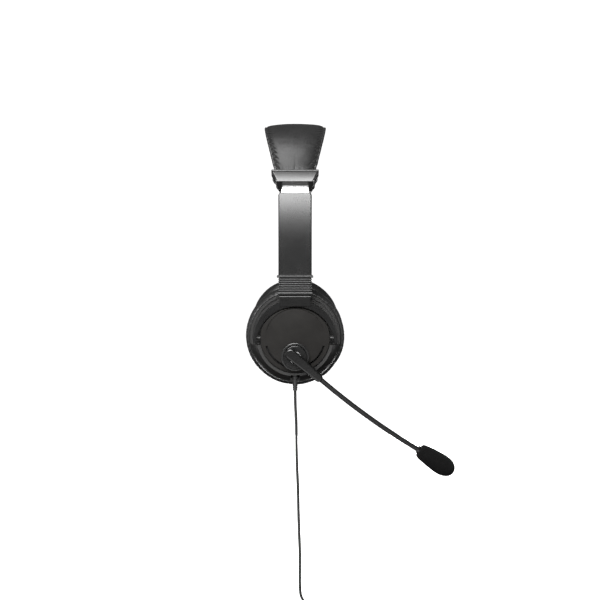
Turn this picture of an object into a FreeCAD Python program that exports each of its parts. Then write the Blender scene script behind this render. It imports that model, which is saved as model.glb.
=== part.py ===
import FreeCAD, Part
import math
import os

# An office headset with a padded headband, two sliding arms, two tilting ear cups and a
# swinging microphone boom. Millimetres. +X is the wearer's front, +Z is up, and the cup
# with the microphone is at -Y. The origin is the middle of the headband pad's underside,
# where the headset rests on the crown of the head.
#
# Each side is built on the microphone's side and mirrored for the other one. In the
# builders below, "out" is the distance from the middle of the head towards the ear, and
# a height is counted from the middle of the ear cups.

# Driving dimensions
CROWN = 143.5          # underside of the pad
BAND_TOP = 150.0       # middle of the steel band at the crown
BAND_OUT = 80.2        # middle of the band where it runs straight down inside an arm
BAND_WIDTH = 18.4
BAND_THICK = 1.0
BAND_END = 55.5        # lower end of the band
STOP_HALF = 10.2       # half the width of the stop on each end of the band
STOP_TALL = 3.0
SHOULDER_Z = 88.0      # the band is straight below this
SHOULDER_R = 48.0      # bend of the band over the ears

PAD_END = math.radians(59.5)      # ends of the pad, as angles along the arch from the crown
PAD_HALF_END = 14.7    # half the pad's width at its ends, and what the crown has more
PAD_HALF_MORE = 8.5
PAD_NARROW = math.radians(54.0)   # from here on the pad is as narrow as at its ends
CAP_TOP = math.radians(57.0)      # the end cap from the crown down: edge, lip, face,
CAP_LIP = math.radians(58.6)      # and legs
CAP_FACE = math.radians(66.6)
CAP_LEGS = math.radians(70.3)
CAP_INNER_LEGS = math.radians(67.5)
CAP_HALF = 16.7        # half the cap's width, and how much each half loses on the way down
OUTER_TAPER = [(56.0, 0.5), (58.6, 0.2), (60.4, 1.0), (62.3, 1.8), (64.9, 2.7), (67.6, 3.9),
               (70.3, 5.0), (72.0, 6.3)]
INNER_TAPER = [(56.0, 0.8), (60.1, 1.4), (62.4, 2.7), (65.4, 3.9), (68.4, 5.0), (71.0, 6.1)]
CAP_SCREW = math.radians(63.0)    # where a cap's two screws stand, and their heads' outer side
CAP_SCREW_SIDES = (-10.9, 10.9)
CAP_SCREW_HEAD_R = 1.4
CAP_SCREW_LIFT = -6.6

TRAVEL = 21.0          # how far an arm slides down
CLICK = 3.0            # pitch of the slide's detent holes
HOLE_R = 1.0
DETENT_Z = 80.0        # height of the detent's bump when the arm is all the way up
ARM_TOP = 101.9
ARM_BOTTOM = 44.2
ARM_HALF = 11.7        # half the arm's width
ARM_IN = 76.8          # head side of the arm
ARM_OUT = 84.6         # outer side of the arm
ARM_BEND_Z = 64.0      # from here up that side curves in towards the head
ARM_BEND_R = 260.0
ARM_SCREW_Z = 47.4
COLLAR_BOTTOM = 30.6
SHANK_HALF = 8.0       # the yoke's shank, which the arm's halves clamp
SHANK_TOP = 51.5
SHANK_IN = 78.4
SHANK_OUT = 82.0
NECK_HALF = 10.9       # the yoke's neck below the collar
NECK_TOP = 29.8

PIVOT_OUT = 80.1       # axis on which a cup tilts
PIN_R = 1.1
RUNNING = 0.05         # radial clearance of a pin that turns
GAP = 0.3              # clearance between other moving pieces
FORK_IN_R = 27.9       # inner edge of the yoke's fork, and how far below the cup's
FORK_IN_DROP = 5.7     # middle its centre is
FORK_R = 29.5
FORK_DROP = 2.2

CUSHION_R = 35.5
CUSHION_HOLE_R = 19.0
CUSHION_FRONT = 50.0   # the face that rests on the ear
CUSHION_BACK = 68.3
SKIN = 1.2             # leatherette on the cushions and the pad
HOUSING_R = 32.5
RIM_BACK = 70.6        # outer side of the housing's rim
RECESS_OUT = 72.6      # floor of the recess that the fork moves over
BOSS_R = 24.4          # raised middle of the cup
FACE_EDGE = 82.7       # edge and middle of the domed face cover
FACE_TOP = 84.4
WALL = 1.8
DRIVER_R = 20.0
POST_R = 22.6          # ring of the four cup screws, and their angles from +X
POST_ANGLES = (15, 165, 215, 325)

SCREW_R = 0.9          # every small screw: shank, head and the head's thickness
SCREW_HEAD_R = 1.7
SCREW_HEAD = 1.2

HUB_Z = -12.9          # axis of the boom
HUB_R = 9.9
ROTOR_R = 8.1
LEVER_ANGLE = math.radians(-40.3)
LEVER_LENGTH = 24.4
BOOM_OUT = 92.0
BOOM_R = 1.7
BOOM_MIDDLE = (52.9, -55.6)
BOOM_END = (90.2, -79.9)
FOAM_ANGLE = math.radians(-33.0)
FOAM_LENGTH = 28.8
FOAM_R = 7.05

CORD_OUT = 76.0
CORD_D = 2.0
CORD_LENGTH = 1800.0
RELIEF_TOP = -24.6
RELIEF_END = -37.8
# Middle of the cord from the strain relief to the coil: along X, out, height
CORD_ROUTE = [
    (0.0, CORD_OUT, -37.0),
    (0.0, CORD_OUT, -46.0),
    (0.9, CORD_OUT + 0.1, -61.0),
    (1.0, CORD_OUT, -85.0),
    (2.1, CORD_OUT - 0.3, -109.0),
    (2.5, CORD_OUT, -133.0),
    (3.6, CORD_OUT + 0.2, -157.0),
    (3.2, CORD_OUT, -177.0),
    (4.0, CORD_OUT, -189.0),
    (11.5, CORD_OUT, -196.0),
]
COIL_X = 12.0          # middle of the coil of spare cord, which hangs in the XZ plane
COIL_Z = -211.0
COIL_INNER = 9.0       # radius at the middle of the first layer of turns
COIL_LAYERS = 4
COIL_ROWS = 6
PLUG_X = COIL_X + COIL_INNER + (COIL_LAYERS - 1) * CORD_D
PLUG_TOP = -222.0

AWAY = FreeCAD.Vector(0, -1, 0)
DOWN = FreeCAD.Vector(0, 0, -1)


# Basic shapes on the microphone's side
def spot(x, out, z):
    return FreeCAD.Vector(x, -out, z - CROWN)


def drum(radius, out_a, out_b, x=0.0, z=0.0):
    """A cylinder whose axis points out of the ear."""
    return Part.makeCylinder(radius, out_b - out_a, spot(x, out_a, z), AWAY)


def pipe(outer, inner, out_a, out_b, x=0.0, z=0.0):
    return drum(outer, out_a, out_b, x, z).cut(drum(inner, out_a - 1, out_b + 1, x, z))


def slab(x_a, x_b, out_a, out_b, z_a, z_b):
    return Part.makeBox(x_b - x_a, out_b - out_a, z_b - z_a, spot(x_a, out_b, z_a))


def rod(radius, length, start, direction):
    return Part.makeCylinder(radius, length, start, direction)


def plate(outline, out_a, out_b):
    """A closed outline of (x, z) points, as thick as from out_a to out_b."""
    points = [spot(x, out_a, z) for x, z in outline]
    face = Part.Face(Part.makePolygon(points + points[:1]))
    return face.extrude(AWAY * (out_b - out_a))


def turned(profile, x=0.0, z=0.0):
    """The (radius, out) profile turned about an axis that points out of the ear."""
    points = [spot(x + r, out, z) for r, out in profile]
    face = Part.Face(Part.makePolygon(points + points[:1]))
    return face.revolve(spot(x, 0, z), AWAY, 360)


def one(shape):
    """The single solid that a boolean operation leaves inside a compound."""
    if len(shape.Solids) != 1:
        raise ValueError(f"expected one solid, got {len(shape.Solids)}")
    return shape.removeSplitter().Solids[0]


def eased(shape, radius, wanted):
    """The shape with the edges that wanted() picks rounded."""
    return shape.makeFillet(radius, [e for e in shape.Edges if wanted(e)])


def edge_box(edge):
    """An edge's box as (x_a, x_b, out_a, out_b, z_a, z_b)."""
    b = edge.BoundBox
    return b.XMin, b.XMax, -b.YMax, -b.YMin, b.ZMin + CROWN, b.ZMax + CROWN


# The arch of the band: a crown arc and two tighter shoulder arcs, tangent to each other
SHOULDER_OUT = BAND_OUT - SHOULDER_R
RISE = BAND_TOP - SHOULDER_Z
CROWN_R = (SHOULDER_OUT**2 + RISE**2 - SHOULDER_R**2) / (2 * (RISE - SHOULDER_R))
CROWN_Z = BAND_TOP - CROWN_R
TANGENT = math.atan2(SHOULDER_OUT, SHOULDER_Z - CROWN_Z)


def arch(angle, lift, x=0.0):
    """A point on the arch, angle from the crown and lift above the band's middle."""
    if angle <= TANGENT:
        centre_out, centre_z, radius = 0.0, CROWN_Z, CROWN_R
    else:
        centre_out, centre_z, radius = SHOULDER_OUT, SHOULDER_Z, SHOULDER_R
    radius += lift
    return spot(x, centre_out + radius * math.sin(angle), centre_z + radius * math.cos(angle))


def mirrored(shape):
    return shape.mirror(FreeCAD.Vector(0, 0, 0), FreeCAD.Vector(0, 1, 0))


def shoulder_block(lift_a, lift_b, angle_a, angle_b, half):
    """A block that follows the shoulder arc between two heights above the band."""
    middle = (angle_a + angle_b) / 2
    low = Part.Arc(*[arch(a, lift_a, -half) for a in (angle_a, middle, angle_b)]).toShape()
    high = Part.Arc(*[arch(a, lift_b, -half) for a in (angle_b, middle, angle_a)]).toShape()
    sides = [
        Part.makeLine(arch(angle_b, lift_a, -half), arch(angle_b, lift_b, -half)),
        Part.makeLine(arch(angle_a, lift_b, -half), arch(angle_a, lift_a, -half)),
    ]
    face = Part.Face(Part.Wire([low, sides[0], high, sides[1]]))
    return face.extrude(FreeCAD.Vector(2 * half, 0, 0))


# Headband
def headband_spring():
    """One steel strip over the head, with detent holes and a wider stop at each end."""
    half = BAND_WIDTH / 2

    def side(lift):
        end = spot(-half, BAND_OUT + lift, BAND_END)
        knee = spot(-half, BAND_OUT + lift, SHOULDER_Z)
        bend = (TANGENT + math.pi / 2) / 2
        return [
            Part.makeLine(end, knee),
            Part.Arc(knee, arch(bend, lift, -half), arch(TANGENT, lift, -half)).toShape(),
            Part.Arc(
                arch(TANGENT, lift, -half),
                arch(0, lift, -half),
                mirrored(Part.Vertex(arch(TANGENT, lift, -half))).Point,
            ).toShape(),
            mirrored(
                Part.Arc(knee, arch(bend, lift, -half), arch(TANGENT, lift, -half)).toShape()
            ),
            mirrored(Part.makeLine(end, knee)),
        ]

    inner, outer = side(-BAND_THICK / 2), side(BAND_THICK / 2)
    ends = [
        Part.makeLine(
            spot(-half, BAND_OUT - BAND_THICK / 2, BAND_END),
            spot(-half, BAND_OUT + BAND_THICK / 2, BAND_END),
        )
    ]
    ends.append(mirrored(ends[0]))
    wire = Part.Wire(Part.__sortEdges__(inner + outer + ends))
    strip = Part.Face(wire).extrude(FreeCAD.Vector(BAND_WIDTH, 0, 0))
    stop = slab(
        -STOP_HALF, STOP_HALF, BAND_OUT - BAND_THICK / 2, BAND_OUT + BAND_THICK / 2,
        BAND_END, BAND_END + STOP_TALL,
    )
    strip = strip.fuse([stop, mirrored(stop)])
    for click in range(int(TRAVEL / CLICK) + 1):
        hole = drum(
            HOLE_R, BAND_OUT - 2, BAND_OUT + 2, 0, DETENT_Z - click * CLICK
        )
        strip = strip.cut([hole, mirrored(hole)])
    return one(strip)


def pad_section(angle, inset):
    """The pad's outline across the band: crowned above, and a flange at each side."""
    wide = max(0.0, 1 - (angle / PAD_NARROW) ** 2.5) ** 1.5
    half = PAD_HALF_END + PAD_HALF_MORE * wide - inset
    share = math.cos(angle)
    top = 5.4 + 1.0 * share - inset
    bottom = -5.7 - 0.8 * share + inset
    edge = 0.8 + 2.2 * share - 0.5 * inset
    right = [
        (0.6 * half, 0.93 * bottom), (0.93 * half, 0.55 * bottom), (half, edge),
        (0.93 * half, edge + 0.55 * (top - edge)), (0.6 * half, 0.9 * top),
    ]
    left = [(-x, lift) for x, lift in reversed(right)]
    return right + [(0.0, top)] + left + [(0.0, bottom)]


def pad_block(inset, stations=7):
    """The pad from end to end, as a loft through its outlines along the arch."""
    wires = []
    for i in range(-stations, stations + 1):
        angle = PAD_END * abs(i) / stations
        points = [arch(angle, lift, x) for x, lift in pad_section(angle, inset)]
        if i < 0:
            points = [FreeCAD.Vector(p.x, -p.y, p.z) for p in points]
        curve = Part.BSplineCurve()
        curve.interpolate(Points=points, PeriodicFlag=True)
        wires.append(Part.Wire([curve.toShape()]))
    return Part.makeLoft(wires, True, False)


def pad_pieces():
    """The leatherette cover and the foam inside it, which holds the band."""
    inside = pad_block(SKIN)
    return {"pad_cover": one(pad_block(0).cut(inside)), "pad_foam": one(inside.cut(thick_band()))}


def thick_band():
    """The space that the band takes inside the pad."""
    half = BAND_WIDTH / 2 + 0.05
    lift = BAND_THICK / 2 + 0.05
    top = PAD_END + 0.02
    crown = [arch(TANGENT, lift, -half), arch(0, lift, -half)]
    low = [arch(TANGENT, -lift, -half), arch(0, -lift, -half)]
    far = [FreeCAD.Vector(p.x, -p.y, p.z) for p in (crown[0], low[0])]
    face = Part.Face(
        Part.Wire([
            Part.Arc(crown[0], crown[1], far[0]).toShape(),
            Part.makeLine(far[0], far[1]),
            Part.Arc(far[1], low[1], low[0]).toShape(),
            Part.makeLine(low[0], crown[0]),
        ])
    )
    middle = face.extrude(FreeCAD.Vector(2 * half, 0, 0))
    side = shoulder_block(-lift, lift, TANGENT, top, half)
    return middle.fuse([side, mirrored(side)])


def cap_plan(taper, lift):
    """The cap's tapering outline, true at one height above the band and cut right through."""
    middle = (CAP_TOP + CAP_LEGS) / 2
    origin, across = arch(middle, 20), FreeCAD.Vector(1, 0, 0)
    up = (arch(middle - 0.01, 20) - arch(middle + 0.01, 20)).normalize()
    sides = []
    for x in (1, -1):
        points = []
        for degrees, narrower in taper:
            along_up = (arch(math.radians(degrees), lift) - origin).dot(up)
            points.append(origin + up * along_up + across * (x * (CAP_HALF - narrower)))
        curve = Part.BSplineCurve()
        curve.interpolate(Points=points)
        sides.append(curve.toShape())
    right, left = (side.Vertexes for side in sides)
    ends = [Part.makeLine(right[0].Point, left[0].Point),
            Part.makeLine(right[-1].Point, left[-1].Point)]
    face = Part.Face(Part.Wire(Part.__sortEdges__(sides + ends)))
    return face.extrude(arch(middle, -20) - arch(middle, 20))


def cap_leg(wide):
    """A leg beside the band, sloping from the cap's face down to the band."""
    high, low = 7.0, 0.9
    points = [arch(CAP_FACE - 0.01, 0.6, wide), arch(CAP_FACE - 0.01, high, wide),
              arch(CAP_FACE, high, wide), arch(CAP_LEGS, low, wide), arch(CAP_LEGS, -0.4, wide),
              arch(CAP_FACE, -0.4, wide), arch(CAP_FACE, 0.6, wide)]
    face = Part.Face(Part.makePolygon(points + points[:1]))
    return face.extrude(FreeCAD.Vector(20 - wide, 0, 0))


def end_cap():
    """The outer and inner half of the plastic cap on the pad's end."""
    clear = BAND_THICK / 2 + 0.05
    wide = BAND_WIDTH / 2 + 0.1
    plan, inner_plan = cap_plan(OUTER_TAPER, 3.0), cap_plan(INNER_TAPER, -3.5)

    def tier(lift, angle_a, angle_b, round_r):
        block = shoulder_block(clear, lift, angle_a, angle_b, 20).common(plan)
        return eased(block.removeSplitter().Solids[0], round_r, lambda e: rides(e, lift) and
                     (angle_a == CAP_TOP or edge_box(e)[1] - edge_box(e)[0] < 20))

    outer = tier(7.8, CAP_TOP, CAP_LIP, 0.55).fuse(tier(7.1, CAP_LIP - 0.002, CAP_FACE, 1.3))
    leg = cap_leg(wide)
    legs = leg.fuse(leg.mirror(FreeCAD.Vector(0, 0, 0), FreeCAD.Vector(1, 0, 0)))
    outer = outer.fuse(legs.common(plan))
    inner = shoulder_block(-7.2, -clear, CAP_TOP, CAP_FACE, 20).common(inner_plan)
    inner = eased(inner.removeSplitter().Solids[0], 2.5, lambda e: rides(e, -7.2) and
                  edge_box(e)[1] - edge_box(e)[0] < 20)
    inner_legs = shoulder_block(-4.2, -clear, CAP_FACE, CAP_INNER_LEGS, 20)
    inner = inner.fuse(inner_legs.common(inner_plan))
    pocket = pad_room()
    heads = [cap_screw_rod(x, CAP_SCREW_HEAD_R + 0.1, -8.0, CAP_SCREW_LIFT) for x in CAP_SCREW_SIDES]
    return outer.cut(pocket), inner.cut([pocket, outer] + heads)


def rides(edge, lift):
    """Whether an edge lies at a lift above the shoulder arc all along."""
    first, last = edge.ParameterRange
    for share in (0.05, 0.5, 0.95):
        point = edge.valueAt(first + share * (last - first))
        out, z = -point.y, point.z + CROWN
        if abs(math.hypot(out - SHOULDER_OUT, z - SHOULDER_Z) - SHOULDER_R - lift) > 0.02:
            return False
    return True


def pad_room():
    """The room for the pad's end inside the cap."""
    angles = [CAP_TOP - 0.02, (CAP_TOP + PAD_END) / 2, PAD_END + 0.01]
    wires = []
    for angle in angles:
        points = [arch(angle, lift, x) for x, lift in pad_section(angle, -0.05)]
        curve = Part.BSplineCurve()
        curve.interpolate(Points=points, PeriodicFlag=True)
        wires.append(Part.Wire([curve.toShape()]))
    return Part.makeLoft(wires, True, False)


def cap_screw_rod(x, radius, lift_a, lift_b):
    """A rod across the cap between two heights, where a screw stands."""
    start = arch(CAP_SCREW, lift_a, x)
    return Part.makeCylinder(radius, lift_b - lift_a, start, arch(CAP_SCREW, 0, x) - start)


def cap_screws():
    """Two screws that hold the cap's halves together, from the head side."""
    head_top = CAP_SCREW_LIFT + SCREW_HEAD
    return [cap_screw_rod(x, CAP_SCREW_HEAD_R, CAP_SCREW_LIFT, head_top).fuse(
        cap_screw_rod(x, SCREW_R, CAP_SCREW_LIFT, 3.8)).removeSplitter()
        for x in CAP_SCREW_SIDES]


# Arm: two cover halves, the detent, the collar and the yoke
def arm_plan():
    """The arm's outline from the side, with rounded top corners."""
    box = slab(-ARM_HALF, ARM_HALF, 60, 100, ARM_BOTTOM, ARM_TOP)
    corner = 2.0
    return eased(box, corner, lambda e: e.BoundBox.YLength > 30 and edge_box(e)[4] > ARM_TOP - 1)


def arm_block(lift_a, lift_b, z_a, half):
    """A block along the band from z_a to the arm's top, straight and then leaning in."""
    straight = slab(-half, half, BAND_OUT + lift_a, BAND_OUT + lift_b, z_a, SHOULDER_Z)
    top = math.acos((ARM_TOP + 0.5 - SHOULDER_Z) / (SHOULDER_R + lift_b))
    lean = shoulder_block(lift_a, lift_b, top - 0.05, math.pi / 2, half)
    return straight.fuse(lean)


def band_slot():
    """The slot that the band slides in, wide enough for its bend and for its stop."""
    across = BAND_WIDTH / 2 + GAP
    thick = BAND_THICK / 2 + GAP
    narrow_z = BAND_END + STOP_TALL + TRAVEL + GAP
    slot = slab(-across, across, BAND_OUT - thick, BAND_OUT + thick, narrow_z, ARM_TOP + 2)
    slot = slot.fuse([
        slab(-STOP_HALF - GAP, STOP_HALF + GAP, BAND_OUT - thick, BAND_OUT + thick,
             BAND_END - 1.0, narrow_z),
        shoulder_block(-thick, thick, CAP_LEGS - 0.1, math.pi / 2, across),
        slab(-across, across, BAND_OUT - 3.0, BAND_OUT, SHOULDER_Z + 6, ARM_TOP + 2).cut(
            shoulder_block(-12, -thick, CAP_LEGS - 0.2, math.pi / 2, 20)
        ),
    ])
    return slot


def arm_screw(x):
    """A screw from the head side through the inner cover and the shank."""
    head = drum(SCREW_HEAD_R, ARM_IN, ARM_IN + SCREW_HEAD, x, ARM_SCREW_Z)
    return head.fuse(drum(SCREW_R, ARM_IN, ARM_OUT - 1.6, x, ARM_SCREW_Z)).removeSplitter()


def arm_pieces():
    lift_in, lift_out = ARM_IN - BAND_OUT, ARM_OUT - BAND_OUT
    shank = slab(-SHANK_HALF, SHANK_HALF, SHANK_IN, SHANK_OUT, 20, SHANK_TOP)
    screws = Part.makeCompound([arm_screw(-5), arm_screw(5)])
    room = band_slot()
    pocket = slab(-7.3, 7.3, BAND_OUT - 2.0, BAND_OUT, DETENT_Z - 8.3, DETENT_Z + 4.3)
    plan = arm_plan()
    outer = arm_block(0, lift_out + 2, ARM_BOTTOM, ARM_HALF).common(plan).common(arm_bow())
    outer = eased(one(outer), 0.9, on_bow)
    inner = arm_block(lift_in, 0, ARM_BOTTOM, ARM_HALF).common(plan)
    outer = outer.cut([room, shank] + screws.Solids)
    inner = inner.cut([room, shank, pocket] + screws.Solids)
    return {
        "arm_cover_outer": one(outer),
        "arm_cover_inner": one(inner),
        "arm_screws": screws,
        "detent_spring": detent_spring(),
        "arm_collar": arm_collar(shank),
        "yoke": yoke(shank.cut(screws.Solids)),
        "pivot_pins": pivot_pins(),
    }


def arm_bow():
    """Everything inside the arm's outer side, which is flat and then curves in."""
    reach = ARM_TOP + 1 - ARM_BEND_Z
    far = ARM_OUT - ARM_BEND_R
    middle, end = (far + math.sqrt(ARM_BEND_R**2 - up**2) for up in (reach / 2, reach))
    corners = [(60, ARM_TOP + 1), (60, ARM_BOTTOM - 1), (ARM_OUT, ARM_BOTTOM - 1),
               (ARM_OUT, ARM_BEND_Z)]
    points = [spot(-20, out, z) for out, z in corners]
    tip = spot(-20, end, ARM_TOP + 1)
    bend = Part.Arc(points[-1], spot(-20, middle, ARM_BEND_Z + reach / 2), tip).toShape()
    edges = [Part.makeLine(p, q) for p, q in zip(points, points[1:])]
    edges += [bend, Part.makeLine(tip, points[0])]
    return Part.Face(Part.Wire(edges)).extrude(FreeCAD.Vector(40, 0, 0))


def on_bow(edge):
    """Whether an edge lies on the arm's outer side all along."""
    first, last = edge.ParameterRange
    for share in (0.1, 0.5, 0.9):
        point = edge.valueAt(first + share * (last - first))
        up = max(0.0, point.z + CROWN - ARM_BEND_Z)
        if abs(-point.y - (ARM_OUT - ARM_BEND_R + math.sqrt(ARM_BEND_R**2 - up**2))) > 0.02:
            return False
    return edge.Length > 0.5


def detent_spring():
    """A leaf spring whose bump rests against the band's holes."""
    face = BAND_OUT - BAND_THICK / 2 - 0.05
    leaf = slab(-7, 7, BAND_OUT - 2.0, BAND_OUT - 1.6, DETENT_Z - 8, DETENT_Z + 4)
    bump = Part.makeCone(1.6, 0.7, face - BAND_OUT + 1.7, spot(0, BAND_OUT - 1.7, DETENT_Z), AWAY)
    return one(leaf.fuse(bump))


def arm_collar(shank):
    """The ribbed collar between the arm and the yoke."""
    half = ARM_HALF - 0.4
    body = slab(-half, half, ARM_IN, ARM_OUT - 0.5, COLLAR_BOTTOM, ARM_BOTTOM)
    body = eased(body, 1.2, lambda e: edge_box(e)[5] - edge_box(e)[4] > 5)
    beads = [(COLLAR_BOTTOM + 0.9, 0.9, 0.9), (ARM_BOTTOM - 0.85, 1.5, 0.85)]
    beads += [(33.6 + 1.55 * i, 0.45, 0.45) for i in range(6)]
    for z, proud, half_tall in beads:
        ring = slab(-half - proud, half + proud, ARM_IN, ARM_OUT - 0.5 + min(proud, 1.0),
                    z - half_tall, z + half_tall)
        ring = eased(ring, 0.78 * half_tall, lambda e: edge_box(e)[3] > ARM_IN + 1 and
                     edge_box(e)[5] - edge_box(e)[4] < 0.1)
        body = body.fuse(ring)
    return one(body.cut(shank))


def yoke(shank):
    """The fork round the cup's upper half, its neck and its shank."""
    outside = drum(FORK_R, 77.6, 83.2, 0, -FORK_DROP)
    inside = drum(FORK_IN_R, 77, 85, 0, -FORK_IN_DROP)
    fork = outside.cut(inside).common(slab(-40, 40, 70, 90, -3.2, 40))
    neck = slab(-NECK_HALF, NECK_HALF, 78.7, 84.2, 22.5, NECK_TOP)
    neck = neck.cut(inside)
    neck = eased(neck, 0.7, lambda e: edge_box(e)[2] > 84.1 and edge_box(e)[1] - edge_box(e)[0] > 10
                 and edge_box(e)[4] > 29)
    step = slab(-SHANK_HALF - 1.2, SHANK_HALF + 1.2, SHANK_IN, 83.0, 27, COLLAR_BOTTOM)
    mark = slab(-2.5, -1.9, 84.1, 84.45, 24.8, 28.0)
    body = fork.fuse([neck, step, shank.common(slab(-20, 20, 70, 90, 26, SHANK_TOP)), mark])
    for x in (-1, 1):
        body = body.cut(rod(PIN_R, 10, spot(x * 20, PIVOT_OUT, 0), FreeCAD.Vector(x, 0, 0)).common(
            slab(-28.6, 28.6, 70, 90, -5, 5)))
    return one(body)


def pivot_pins():
    """Steel pins pressed into the fork's ends, on which the cup tilts."""
    pins = []
    for x in (-1, 1):
        pins.append(rod(PIN_R, 7.6, spot(x * 21.0, PIVOT_OUT, 0), FreeCAD.Vector(x, 0, 0)))
    return Part.makeCompound(pins)


# Ear cup
def boss(out_a, out_b, inset=0.0):
    """The cup's raised middle: a disc whose top follows the fork's inner edge."""
    disc = drum(BOSS_R - inset, out_a, out_b)
    return disc.common(drum(FORK_IN_R - 1.0 - inset, out_a, out_b, 0, -FORK_IN_DROP))


def pin_bores(radius, reach):
    bores = []
    for x in (-1, 1):
        start = spot(x * (21.0 - reach), PIVOT_OUT, 0)
        bores.append(rod(radius, 10.0, start, FreeCAD.Vector(x, 0, 0)))
    return bores


def screw_posts():
    """Where the cup's four screws stand."""
    angles = [math.radians(a) for a in POST_ANGLES]
    return [(POST_R * math.cos(a), POST_R * math.sin(a)) for a in angles]


def cup_housing(with_cord):
    """The cup's rear shell: rim, dome below, recess for the fork above and raised boss."""
    dome = turned([
        (0, 68.1), (HOUSING_R, 68.1), (HOUSING_R, RIM_BACK), (32.1, 72.2), (31.2, 74.6),
        (30.0, 77.2), (28.6, 79.6), (27.0, 81.4), (27.0, 82.2), (0, 82.2),
    ])
    over = drum(40, RECESS_OUT, 90).common(slab(-40, 40, 60, 95, -5.0, 40)).cut(boss(60, 95))
    low_wall = pipe(HOUSING_R, 30.2, RECESS_OUT - 0.5, 74.0).common(
        slab(-40, 40, 60, 95, -5.0, 40))
    wall_slope = turned([(30.2, 70), (31.9, 70), (31.2, 74.0), (30.2, 74.0)]).common(low_wall)
    shell = dome.cut(over).fuse(wall_slope)
    neck_room = slab(-NECK_HALF - 2.6, NECK_HALF + 2.6, 71.4, 95, 26, 40)
    shell = shell.cut(neck_room)
    rim_room = drum(30.2, 60, 70.4)
    seat = drum(40, 80.6, 90)
    hollow = boss(70, 90, WALL + 0.4)
    belly = drum(28.6, 70, 76.4).common(slab(-40, 40, 60, 95, -40, -8.0))
    shell = shell.cut([rim_room, seat.common(boss(80, 90, -0.6)), hollow, belly])
    lumps = []
    for x in (-1, 1):
        lump = rod(3.4, 3.9, spot(x * 20.4, PIVOT_OUT, 0), FreeCAD.Vector(x, 0, 0))
        lumps.append(lump.common(slab(-40, 40, 60, 80.6, -10, 10)))
    for x, z in screw_posts():
        lumps.append(drum(2.4, 70.4, 79.0, x, z).common(boss(60, 90).fuse(drum(28, 60, 72.6))))
    shell = shell.fuse(lumps)
    shell = shell.cut(pin_bores(PIN_R + RUNNING, 0.4))
    shell = shell.cut([drum(0.9, 69, 74.4, x, z) for x, z in screw_posts()])
    if with_cord:
        shell = shell.cut(slab(-3.2, 3.2, CORD_OUT - 1.0, 90, -40, -26.2))
        shell = shell.cut(rod(1.9, 9, spot(0, CORD_OUT, -22), DOWN))
        shell = shell.cut(relief_shape(0.02))
    return one(shell)


def face_cover(with_hub):
    """The domed cover, with two open vent slits below and a blind groove above."""
    sag = FACE_TOP - FACE_EDGE
    dome_r = (BOSS_R**2 + sag**2) / (2 * sag)
    middle = spot(0, FACE_TOP - dome_r, 0)
    cover = boss(80.6, 90).common(Part.makeSphere(dome_r, middle))
    cover = cover.cut(boss(80, 90, 1.4).common(Part.makeSphere(dome_r - WALL, middle)))
    cover = eased(cover.removeSplitter(), 0.6, lambda e: edge_box(e)[2] > 82.0 and
                  edge_box(e)[1] - edge_box(e)[0] > 20)
    groove = pipe(21.0, 20.5, FACE_TOP - 1.75, 90).common(fan(15, 165))
    slits = [pipe(21.5, 20.1, 78, 90).common(fan(-70, -15)),
             pipe(21.5, 20.1, 78, 90).common(fan(-165, -110))]
    notches = [rod(PIN_R + GAP, 8.0, spot(x * 20.4, PIVOT_OUT, 0), FreeCAD.Vector(x, 0, 0))
               for x in (-1, 1)]
    cover = cover.cut([groove] + slits + notches)
    if with_hub:
        cover = cover.cut(drum(6.9, 75, 90, 0, HUB_Z))
        cover = cover.cut(drum(HUB_R, 83.0, 90, 0, HUB_Z))
    return one(cover)


def vent_mesh():
    """The dust mesh behind the vent slits."""
    ring = pipe(22.1, 18.8, 80.3, 80.6).common(slab(-30, 30, 70, 90, -30, -4.2))
    return Part.makeCompound(ring.cut(drum(7.4, 70, 90, 0, HUB_Z)).Solids)


def fan(angle_a, angle_b):
    """A wedge of the cup between two angles, counted from +X towards the top."""
    steps = 8
    points = [(0, 0)]
    for i in range(steps + 1):
        angle = math.radians(angle_a + (angle_b - angle_a) * i / steps)
        points.append((60 * math.cos(angle), 60 * math.sin(angle)))
    return plate(points, 60, 95)


def driver_pieces():
    """The speaker: basket, magnet and cone, from the ear outwards."""
    basket = turned([
        (DRIVER_R, 68.9), (DRIVER_R, 70.0), (18.8, 70.4), (18.2, 71.4), (15.0, 73.4), (9.0, 75.2),
        (9.0, 74.4), (14.4, 72.7), (17.6, 70.8), (DRIVER_R - 1.4, 70.2),
        (DRIVER_R - 1.4, 68.9),
    ])
    magnet = turned([(0, 73.6), (9.0, 73.6), (9.0, 77.6), (8.2, 78.2), (0, 78.2)])
    cone = turned([
        (0, 70.5), (5.4, 71.3), (6.2, 70.8), (11.0, 69.7), (17.0, 69.6), (18.6, 69.7),
        (18.6, 69.9), (17.0, 69.8), (11.0, 69.9), (6.2, 71.0), (5.4, 71.5), (0, 70.7),
    ])
    return {"driver_frame": one(basket.cut(magnet)), "driver_magnet": one(magnet),
            "driver_cone": one(cone)}


def baffle():
    """The plate that carries the speaker, with a ring of sound holes before it."""
    disc = drum(30.1, 68.1, 70.4).cut(drum(DRIVER_R, 68.9, 80))
    holes = [drum(1.5, 60, 70, 0, 0)]
    for count, radius in ((6, 5.0), (12, 10.0), (18, 15.0)):
        for i in range(count):
            angle = 2 * math.pi * i / count
            holes.append(drum(1.5, 60, 70, radius * math.cos(angle), radius * math.sin(angle)))
    holes += [drum(0.9, 60, 80, x, z) for x, z in screw_posts()]
    holes += [drum(1.7, 60, 69.3, x, z) for x, z in screw_posts()]
    return one(disc.cut(holes))


def cup_screws():
    made = []
    for x, z in screw_posts():
        head = drum(1.7, 68.2, 69.3, x, z)
        made.append(head.fuse(drum(0.9, 68.2, 74.2, x, z)).removeSplitter())
    return Part.makeCompound(made)


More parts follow.
